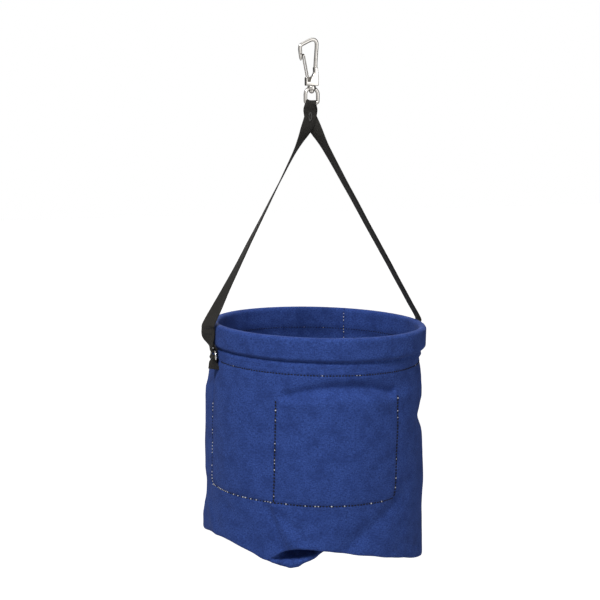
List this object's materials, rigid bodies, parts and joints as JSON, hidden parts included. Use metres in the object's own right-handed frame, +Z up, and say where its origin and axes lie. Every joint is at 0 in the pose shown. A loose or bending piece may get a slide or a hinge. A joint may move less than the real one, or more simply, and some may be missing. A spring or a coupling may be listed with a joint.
{
  "type": "hanging feed bucket",
  "caption": "Round canvas feed bucket with a hooped rim and inner pockets, hung by a webbing strap from a swivel snap hook.",
  "frame": {"origin": "highest point inside the hook's bow, where the hook bears on what it hangs from", "axes": "+Z up along the hanging object, X across the strap from the left ring to the right ring, pockets towards -Y"},
  "size_m": [0.3378, 0.312, 0.7225],
  "materials": {
    "nickel": "bright nickel plate",
    "webbing": "black nylon webbing, plain rib weave",
    "thread": "waxed polyester thread",
    "hoop_plastic": "plain polyethylene strip",
    "canvas": "blue cotton duck canvas"
  },
  "bodies": {
    "hook": {"hook_body": "nickel", "swivel_post": "nickel"},
    "gate": {"gate": "nickel"},
    "eye": {"swivel_eye": "nickel"},
    "strap": {"handle_strap": "webbing", "strap_bartack": "thread", "strap_end_stitches": "thread"},
    "bucket": {"tab_left": "webbing", "tab_right": "webbing", "tab_stitching": "thread", "rim_hoop": "hoop_plastic", "canvas_wall": "canvas", "rim_hem": "canvas", "base_panel": "canvas", "pocket_panel": "canvas", "back_seam": "canvas", "hem_stitching": "thread", "hoop_stitching": "thread", "pocket_stitching": "thread", "seam_stitching": "thread", "base_stitching": "thread"},
    "ring_left": {"ring_left": "nickel"},
    "ring_right": {"ring_right": "nickel"}
  },
  "joints": [
    {"name": "gate_hinge", "type": "hinge", "parent": "hook", "child": "gate", "pos_m": [-0.0055, 0, -0.0538], "axis": [0, 1, 0], "range_deg": [0, 20], "stiffness_Nm_per_rad": 0.08, "springref_deg": -8.59},
    {"name": "swivel", "type": "hinge", "parent": "hook", "child": "eye", "pos_m": [0, 0, -0.0665], "axis": [0, 0, 1], "continuous": true},
    {"name": "strap_swing", "type": "hinge", "parent": "eye", "child": "strap", "pos_m": [0, 0, -0.0852], "axis": [1, 0, 0], "range_deg": [-60, 60]},
    {"name": "bucket_tip", "type": "hinge", "parent": "strap", "child": "bucket", "pos_m": [0.00977, 0, -0.44398], "axis": [0.9997, 0, -0.0262], "range_deg": [-28, 28]},
    {"name": "ring_left_flap", "type": "hinge", "parent": "bucket", "child": "ring_left", "pos_m": [-0.14818, 0, -0.43985], "axis": [0, 1, 0], "range_deg": [-4, 4]},
    {"name": "ring_right_flap", "type": "hinge", "parent": "bucket", "child": "ring_right", "pos_m": [0.16772, 0, -0.44812], "axis": [0, 1, 0], "range_deg": [-4, 4]}
  ]
}
